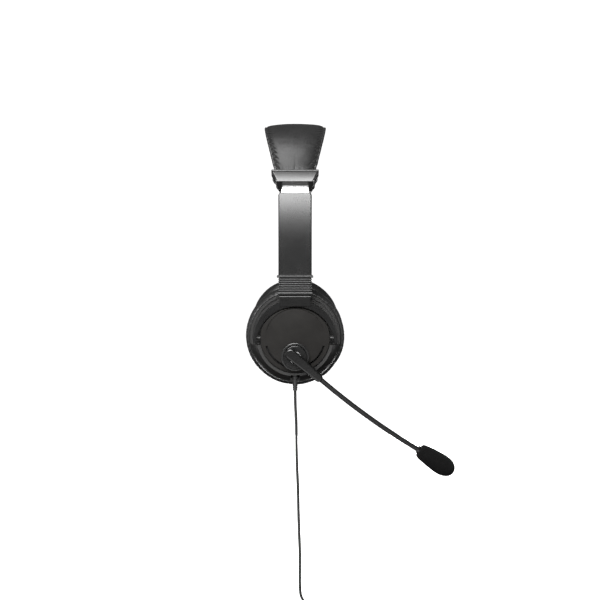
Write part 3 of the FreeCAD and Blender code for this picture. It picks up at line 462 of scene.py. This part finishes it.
def arch_point(angle, lift, across):
    """A place over the band, at a signed angle from the crown towards the microphone."""
    turn, side = abs(angle), (-1 if angle > 0 else 1)
    if turn <= TANGENT:
        out, z, radius = 0.0, CROWN_Z, CROWN_R
    else:
        out, z, radius = SHOULDER_OUT, SHOULDER_Z, SHOULDER_R
    radius += lift
    return Vector((across, side * (out + radius * math.sin(turn)), z + radius * math.cos(turn)))


def arch_length(angle):
    """The way along the band from the crown to an angle, without a sign."""
    turn = abs(angle)
    return CROWN_R * min(turn, TANGENT) + SHOULDER_R * max(0.0, turn - TANGENT)


def pad_sizes(angle):
    """The pad's half width, and its top, seam and underside over the band, at an angle."""
    share = math.cos(angle)
    half = PAD_HALF_END + PAD_HALF_MORE * max(0.0, 1 - abs(angle / PAD_NARROW) ** 2.5) ** 1.5
    return half, (5.4 + share) * MM, (0.8 + 2.2 * share) * MM, (-5.7 - 0.8 * share) * MM


def pad_outline(angle, fine=64):
    """The pad's skin across the band, anticlockwise: (across, lift, distance off a seam)."""
    half, top, edge, bottom = pad_sizes(angle)
    seam = half - FLANGE
    outline = []
    for start, height in ((1, top), (-1, bottom)):
        panel = []
        for i in range(fine + 1):
            across = start * seam * math.cos(math.pi * i / fine)
            share = max(0.0, 1 - (across / seam) ** 2) ** 0.5
            step = FLANGE_HALF if start > 0 else -FLANGE_HALF
            base = edge + step
            panel.append(Vector((across, base + (height - base) * share ** 0.92)))
        walked = [0.0]
        for a, b in zip(panel, panel[1:]):
            walked.append(walked[-1] + (b - a).length)
        offs = [min(w, walked[-1] - w) for w in walked]
        outline += [(p.x, p.y, off) for p, off in zip(panel, offs)]
        rim = []
        for i in range(1, 6):
            turn = math.pi * i / 6
            rim.append((-start * (half - FLANGE_HALF + FLANGE_HALF * math.sin(turn)),
                        edge + start * FLANGE_HALF * math.cos(turn), -1.0))
        flat_a = (-start * (seam + 0.45 * FLANGE), edge + start * FLANGE_HALF, -1.0)
        flat_b = (-start * (seam + 0.45 * FLANGE), edge - start * FLANGE_HALF, -1.0)
        outline += [flat_a] + rim + [flat_b]
    return outline


def flange_move(s, across):
    """How far the sewn flange waves at a place along the band, as (across, lift)."""
    wave = FLANGE_WAVE * math.sin(2 * math.pi * s / GATHER_PITCH + (2 if across > 0 else 0))
    return Vector((FLANGE_SHAKE * ripple(s / (5 * MM), across * 90, 2.0), wave))


def skin_dip(s, across, off, to_lip, seed):
    """How far the skin stands off its smooth shape: gathers, dents and the caps' pleats."""
    dip = gathers(s, off, GATHER_PITCH, GATHER_DEPTH, GATHER_REACH, seed, slant=1.3)
    dip += BROAD_DENT * ripple(s / (17 * MM), across / (13 * MM), seed) * min(1, off / (4 * MM))
    dip += FINE_DENT * ripple(s / (4 * MM), across / (5 * MM), 50) * min(1, off / (3 * MM))
    lean = 2 * ripple(across / (5 * MM), seed, 0)
    pleat = (0.5 + 0.5 * math.cos(across / PLEAT_WIDTH + lean)) ** 3
    return dip - PLEAT_DEPTH * pleat * math.exp(-to_lip / PLEAT_REACH) * min(1, off / (2 * MM))


def pad_skin():
    """The sewn leatherette tube over the band, gathered along both seams."""
    verts = []
    for i in range(PAD_ROWS + 1):
        angle = PAD_END * (2 * i / PAD_ROWS - 1)
        s = arch_length(angle)
        to_lip = max(0.0, arch_length(PAD_LIP) - s)
        outline = pad_outline(angle)
        count = len(outline)
        for j, (across, lift, off) in enumerate(outline):
            before, after = outline[j - 1], outline[(j + 1) % count]
            way = Vector((after[0] - before[0], after[1] - before[1])).normalized()
            normal = Vector((way.y, -way.x))
            if off < 0:
                move = flange_move(s, across)
            else:
                seed = (2.0 if across > 0 else 8.0) + (0.5 if lift > 2 * MM else 4.0)
                seed += 20 if angle > 0 else 0
                move = normal * skin_dip(s, across, off, to_lip, seed)
            verts.append(arch_point(angle, lift + move.y, across + move.x))
    faces = ring_faces(PAD_ROWS + 1, count)
    faces.append(tuple(reversed(range(count))))
    faces.append(tuple(range(PAD_ROWS * count, (PAD_ROWS + 1) * count)))
    skin = new_mesh("pad_leather", verts, faces, "leather", "headband")
    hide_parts("pad_cover", "pad_foam")
    return skin


def pad_stitching():
    """The seam's thread on both faces of the flange, at both sides."""
    places, ways, lifts = [], [], []
    length = arch_length(PAD_LIP)
    count = int(2 * length / GATHER_PITCH)
    for side in (-1, 1):
        for face in (-1, 1):
            for i in range(count):
                angle = PAD_LIP * (2 * (i + 0.5) / count - 1)
                half, _, edge, _ = pad_sizes(angle)
                across = side * (half - 0.62 * FLANGE)
                lift = edge + face * (FLANGE_HALF + 0.02 * MM)
                here = arch_point(angle, lift, across)
                ahead = arch_point(angle + 0.01, lift, across)
                up = (arch_point(angle, lift + 1 * MM, across) - here).normalized() * face
                places.append(here)
                ways.append((ahead - here).normalized())
                lifts.append(up)
    stitches("pad_stitches", places, ways, lifts, "headband")


# ---------------------------------------------------------------- ear cushions
# The skin's section as (radius, depth behind the face that rests on the ear), clockwise
# from the back of the hole: inner wall, seam, crowned face, outer wall, tuck at the rim
CUSHION_SECTION = [
    (19.4, 17.9), (19.1, 14.0), (19.0, 9.0), (19.7, 5.2), (21.2, 2.7),
    (23.8, 0.9), (27.2, 0.0), (30.6, 0.9), (33.3, 3.1), (35.0, 6.6), (35.5, 10.4),
    (35.2, 13.6), (34.0, 16.4), (32.6, 17.6), (30.0, 17.95), (24.5, 17.95),
]
CUSHION_SEAM = (20.2, 3.9)
CUSHION_CROWN = (27.2, 0.0)
CUSHION_TUCK = (33.6, 17.0)
SEAM_GATHERS, RIM_GATHERS = 40, 58
# Depth of the gathers and how far they run: on the inner wall, on the face and at the rim
WALL_GATHER, FACE_GATHER, RIM_GATHER = (
    (0.35 * MM, 3.0 * MM), (0.6 * MM, 4.6 * MM), (0.55 * MM, 4.4 * MM))
SEAM_SINK, SEAM_SINK_REACH = 0.5 * MM, 0.7 * MM
CUSHION_WAVE, CUSHION_CREASE = 0.3 * MM, 0.16 * MM
CUSHION_STITCHES = 46
STITCH_RADIUS, STITCH_DEPTH, STITCH_LONG = 20.9 * MM, 3.25 * MM, 1.9 * MM
CUSHION_ROWS, CUSHION_FINE = 440, 132
HOLE_R = 25 * MM                  # the skin nearer the middle than this is the hole's wall
BACK_DEPTH = 17.4 * MM            # the skin deeper than this lies against the cup


def ear_cushion(side):
    """A soft leatherette ring, gathered into its inner seam and into the cup's rim."""
    low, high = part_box("ear_cushion_" + side)
    middle = (low + high) / 2
    sign = SIDES[side]
    face = high.y if sign < 0 else low.y
    section = loop_curve([(r * MM, deep * MM) for r, deep in CUSHION_SECTION], CUSHION_FINE)
    count = len(section)
    walked = [0.0]
    for a, b in zip(section, section[1:]):
        walked.append(walked[-1] + (b - a).length)
    total = walked[-1] + (section[0] - section[-1]).length

    def nearest(place):
        target = Vector(place) * MM
        return min(range(count), key=lambda k: (section[k] - target).length)

    seam, rim = nearest(CUSHION_SEAM), nearest(CUSHION_TUCK)
    normals = []
    for j in range(count):
        way = (section[(j + 1) % count] - section[j - 1]).normalized()
        normals.append(Vector((way.y, -way.x)))
    if normals[nearest(CUSHION_CROWN)].y > 0:
        normals = [-n for n in normals]

    def apart(j, k):
        gap = abs(walked[j] - walked[k])
        return min(gap, total - gap)

    seed = 100 if side == "mic" else 140
    seam_r, rim_r = CUSHION_SEAM[0] * MM, CUSHION_TUCK[0] * MM
    seam_pitch = 2 * math.pi * seam_r / SEAM_GATHERS
    rim_pitch = 2 * math.pi * rim_r / RIM_GATHERS
    verts = []
    for i in range(CUSHION_ROWS):
        turn = 2 * math.pi * i / CUSHION_ROWS
        c, s = math.cos(turn), math.sin(turn)
        for j, point in enumerate(section):
            off_seam, off_rim = apart(j, seam), apart(j, rim)
            at_seam, at_rim = turn * seam_r, turn * rim_r
            inside = point.x < HOLE_R and point.y > CUSHION_SEAM[1] * MM
            dip = gathers(at_seam, off_seam, seam_pitch, *(WALL_GATHER if inside else FACE_GATHER),
                          seed + (3 if inside else 0), slant=0.15)
            dip -= SEAM_SINK * math.exp(-(off_seam / SEAM_SINK_REACH) ** 2)
            back = point.y > BACK_DEPTH
            if not back:
                dip += gathers(at_rim, off_rim, rim_pitch, *RIM_GATHER, seed + 7, slant=0.3)
            around = Vector((c, s, 0)) * 2.2
            dip += CUSHION_WAVE * ripple(around.x, around.y, walked[j] / (8 * MM) + seed)
            creases = ripple(around.x * 1.6 + 5, around.y * 1.6, walked[j] / (1.9 * MM) + seed)
            dip += CUSHION_CREASE * creases * (0 if back else 1)
            if back:
                dip = min(dip, 0.0) * 0.2
            moved = point + normals[j] * dip
            verts.append((middle.x + moved.x * c, face + sign * moved.y, middle.z + moved.x * s))
    faces = ring_faces(CUSHION_ROWS, count, closed_rows=True)
    skin = new_mesh("cushion_leather_" + side, verts, faces, "leather",
                    "cup_" + side)
    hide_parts("ear_cushion_" + side, "cushion_foam_" + side)
    cushion_stitching(side, middle, face, sign)


def cushion_stitching(side, middle, face, sign):
    """The thread round the cushion's inner seam."""
    places, ways, lifts = [], [], []
    seam_middle = Vector((middle.x, face + sign * STITCH_DEPTH, middle.z))
    for i in range(CUSHION_STITCHES):
        turn = 2 * math.pi * i / CUSHION_STITCHES
        outward = Vector((math.cos(turn), 0, math.sin(turn)))
        places.append(seam_middle + outward * STITCH_RADIUS)
        ways.append(Vector((-math.sin(turn), 0, math.cos(turn))))
        lifts.append((Vector((0, -sign, 0)) * 0.8 - outward * 0.6).normalized())
    stitches("cushion_stitches_" + side, places, ways, lifts, "cup_" + side,
             STITCH_LONG)


# ---------------------------------------------------------------- windscreen
FOAM_TILT = math.radians(-33.0)
FOAM_LENGTH = 28.8 * MM
FOAM_PORE, PORE_DEPTH = 0.85 * MM, 0.55 * MM
FOAM_ROWS, FOAM_AROUND = 120, 190
# Along the foam and out from its middle, as shares of its length and radius
FOAM_PROFILE = [(0.0, 0.0), (0.0, 0.35), (0.005, 0.6), (0.05, 0.73), (0.16, 0.83), (0.35, 0.93),
                (0.6, 1.0), (0.76, 0.95), (0.88, 0.76), (0.965, 0.43), (1.0, 0.0)]


def windscreen():
    """The open-cell foam over the microphone, with its pores as real dents."""
    low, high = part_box("windscreen")
    middle = (low + high) / 2
    way = Vector((math.cos(FOAM_TILT), 0, math.sin(FOAM_TILT)))
    radius = (high.y - low.y) / 2
    side = Vector((0, -1, 0))
    up = way.cross(side)
    start = middle - way * (FOAM_LENGTH / 2)
    line = [Vector((share * FOAM_LENGTH, r * radius)) for share, r in FOAM_PROFILE]
    fine, last = [], len(line) - 1
    for i in range(last):
        fine += smooth_run(line[max(i - 1, 0)], line[i], line[i + 1], line[min(i + 2, last)], 12)
    fine.append(line[-1])
    profile = even_points(fine, FOAM_ROWS)
    verts = []
    for i, point in enumerate(profile[1:-1]):
        for j in range(FOAM_AROUND):
            turn = 2 * math.pi * j / FOAM_AROUND
            out = side * math.cos(turn) + up * math.sin(turn)
            at = start + way * point.x + out * max(point.y, 0.05 * MM)
            cells = noise.voronoi(at / FOAM_PORE)[0]
            pore = max(0.0, 0.42 - cells[0]) * PORE_DEPTH
            lump = 0.18 * MM * ripple(*(at / (4.5 * MM))) + 0.07 * MM * ripple(*(at / (1.1 * MM)))
            verts.append(at + out * (lump - pore - 0.05 * MM))
    faces = ring_faces(FOAM_ROWS - 2, FOAM_AROUND)
    verts += [start + way * profile[0].x, start + way * profile[-1].x]
    tip = (FOAM_ROWS - 3) * FOAM_AROUND
    for j in range(FOAM_AROUND):
        faces.append((len(verts) - 2, (j + 1) % FOAM_AROUND, j))
        faces.append((len(verts) - 1, tip + j, tip + (j + 1) % FOAM_AROUND))
    foam_ball = new_mesh("mic_foam", verts, faces, "foam", "boom")
    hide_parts("windscreen")


# ---------------------------------------------------------------- cord
CORD_D = 2 * MM
# The middle of the cord from the strain relief to the coil: x, out from the head, height
# over the middle of the ear cup, all in metres
CORD_ROUTE = [
    (0.0, 0.0760, -0.0370),
    (0.0, 0.0760, -0.0460),
    (0.0009, 0.0761, -0.0610),
    (0.0010, 0.0760, -0.0850),
    (0.0021, 0.0757, -0.1090),
    (0.0025, 0.0760, -0.1330),
    (0.0036, 0.0762, -0.1570),
    (0.0032, 0.0760, -0.1770),
    (0.0040, 0.0745, -0.1890),
    (0.0115, 0.0715, -0.1960),
]
COIL_ROWS = 6
COIL_LAYERS = 4
COIL_TURNS = 22.25
POINTS_PER_TURN = 14
COIL_STEP = 0.28                  # the last part of a turn, where it steps over to the next
COIL_LOOSE = 0.12 * MM


def coil_points():
    """The turns of spare cord: inwards along one side, then layer over layer outwards."""
    low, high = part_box("cord_coil")
    middle = (low + high) / 2
    outermost = (high.x - low.x) / 2 - CORD_D / 2
    cells = [(0, layer) for layer in range(COIL_LAYERS)]
    for wound, layer in enumerate(reversed(range(COIL_LAYERS))):
        rows = range(1, COIL_ROWS)
        cells += [(row, layer) for row in (rows if wound % 2 == 0 else reversed(rows))]
    random.seed(4)
    points = []
    steps = int(COIL_TURNS * POINTS_PER_TURN)
    for step in range(1, steps + 1):
        turn = step / POINTS_PER_TURN
        here, part = int(turn), turn % 1
        now, after = cells[min(here, len(cells) - 1)], cells[min(here + 1, len(cells) - 1)]
        share = max(0.0, (part - (1 - COIL_STEP)) / COIL_STEP)
        row = now[0] + (after[0] - now[0]) * share
        layer = now[1] + (after[1] - now[1]) * share
        radius = outermost - layer * CORD_D
        angle = math.pi / 2 - 2 * math.pi * turn
        axial = (row - (COIL_ROWS - 1) / 2) * CORD_D
        jitter = random.uniform(-COIL_LOOSE, COIL_LOOSE)
        points.append(Vector((middle.x + (radius + jitter) * math.cos(angle),
                              middle.y - axial,
                              middle.z + (radius + jitter) * math.sin(angle))))
    return points


def build_cord():
    """The cord as one curve: the listed route, the coil and the tail to the plug."""
    tail_low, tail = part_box("cord_tail")[0], box_middle("cord_tail")
    points = [Vector((x, -out, CUP_Z + z)) for x, out, z in CORD_ROUTE]
    points += coil_points()
    points += [Vector((tail.x, tail.y, tail_low.z + 2.5 * CORD_D)),
               Vector((tail.x, tail.y, tail_low.z))]
    curve = bpy.data.curves.new("headset_cord", "CURVE")
    curve.dimensions = "3D"
    curve.bevel_depth = CORD_D / 2
    curve.bevel_resolution = 5
    curve.resolution_u = 6
    curve.use_fill_caps = True
    spline = curve.splines.new("NURBS")
    spline.points.add(len(points) - 1)
    for place, point in zip(spline.points, points):
        place.co = (*point, 1)
    spline.order_u = 3
    spline.use_endpoint_u = True
    cord = bpy.data.objects.new("headset_cord", curve)
    bpy.context.scene.collection.objects.link(cord)
    cord.data.materials.append(MATERIALS["cord"])
    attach(cord, "cup_mic")
    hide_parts("cord", "cord_coil", "cord_tail")


# ---------------------------------------------------------------- stage
IMAGE_SIDE = 600
FOCAL = 1186.0                    # focal length, in the same unit as IMAGE_SIDE
EYE = Vector((0.002, -0.913, CUP_Z + 0.0766))
YAW = math.radians(-0.10)
PITCH = math.radians(-3.43)
WALL_R, WALL_TALL, WALL_SIDES = 6.0, 7.0, 48
BEND_R = 1.5                      # where the floor curves up into the wall
# Soft boxes that face the headset: place, width and height, and watts
LIGHTS = [
    ("key", (-0.18, -1.00, 0.61), (0.75, 0.90), 55),
    ("top", (-0.22, -0.02, 1.15), (0.7, 0.6), 7),
    ("low", (-0.2, -1.1, -0.85), (1.8, 1.0), 15),
    ("behind", (0, 1.15, -0.42), (0.9, 0.5), 9),
    ("side_left", (-1.5, 0.1, 0.0), (1.0, 1.4), 6),
    ("side_right", (1.5, 0.1, 0.0), (1.0, 1.4), 6),
]


def build_camera():
    """The camera, seen from which the microphone's cup faces the viewer."""
    data = bpy.data.cameras.new("camera")
    data.sensor_width = 36.0
    data.lens = 36.0 * FOCAL / IMAGE_SIDE
    data.clip_start, data.clip_end = 0.05, 20.0
    camera = bpy.data.objects.new("camera", data)
    camera.location = EYE
    camera.rotation_euler = (math.pi / 2 + PITCH, 0, YAW)
    bpy.context.scene.collection.objects.link(camera)
    bpy.context.scene.camera = camera


def soft_light(name, place, target, size, power):
    """A rectangular light that faces a target and isn't itself seen."""
    data = bpy.data.lights.new(name, "AREA")
    data.shape = "RECTANGLE"
    data.size, data.size_y = size
    data.energy = power
    light = bpy.data.objects.new(name, data)
    light.location = place
    aim = Vector(target) - Vector(place)
    light.rotation_euler = aim.to_track_quat("-Z", "Y").to_euler()
    light.visible_camera = False
    bpy.context.scene.collection.objects.link(light)


def build_stage():
    """A plain white floor that curves up into a round wall, and soft studio lights."""
    floor_z = CAD_BOX[0][2] - 0.02
    profile = [(0.0, 0.0)]
    profile += [(WALL_R - BEND_R * (1 - math.sin(a)), BEND_R * (1 - math.cos(a)))
                for a in (math.radians(9 * i) for i in range(11))]
    profile += [(WALL_R, WALL_TALL), (0.0, WALL_TALL)]
    mesh = bpy.data.meshes.new("sweep")
    turn = [math.tau * i / WALL_SIDES for i in range(WALL_SIDES)]
    verts = [(r * math.cos(a), r * math.sin(a), floor_z + z) for r, z in profile for a in turn]
    faces = [(ring + i, ring + (i + 1) % WALL_SIDES, ring + WALL_SIDES + (i + 1) % WALL_SIDES,
              ring + WALL_SIDES + i)
             for ring in range(0, WALL_SIDES * (len(profile) - 1), WALL_SIDES)
             for i in range(WALL_SIDES)]
    mesh.from_pydata(verts, [], faces)
    mesh.validate()
    for polygon in mesh.polygons:
        polygon.use_smooth = True
    sweep = bpy.data.objects.new("sweep", mesh)
    bpy.context.scene.collection.objects.link(sweep)
    white = bpy.data.materials.new("white_paper")
    white.use_nodes = True
    shader = white.node_tree.nodes["Principled BSDF"]
    shader.inputs["Base Color"].default_value = (0.9, 0.9, 0.9, 1)
    shader.inputs["Roughness"].default_value = 0.9
    shader.inputs["Specular IOR Level"].default_value = 0.0
    shader.inputs["Emission Color"].default_value = (1, 1, 1, 1)
    shader.inputs["Emission Strength"].default_value = 1.0
    mesh.materials.append(white)
    sweep.visible_glossy = False
    sweep.visible_diffuse = False
    sweep.visible_shadow = False

    world = bpy.data.worlds.new("studio")
    bpy.context.scene.world = world
    world.use_nodes = True
    world.node_tree.nodes["Background"].inputs["Color"].default_value = (1, 1, 1, 1)
    world.node_tree.nodes["Background"].inputs["Strength"].default_value = 0.03
    middle = Vector((0, -0.08, CUP_Z + 0.05))
    for name, place, size, power in LIGHTS:
        soft_light(name, place, middle, size, power)
    bpy.context.scene.view_settings.view_transform = "Standard"


# ---------------------------------------------------------------- everything
paint_nodes()
pad_skin()
pad_stitching()
for side in SIDES:
    ear_cushion(side)
windscreen()
build_cord()
build_camera()
build_stage()
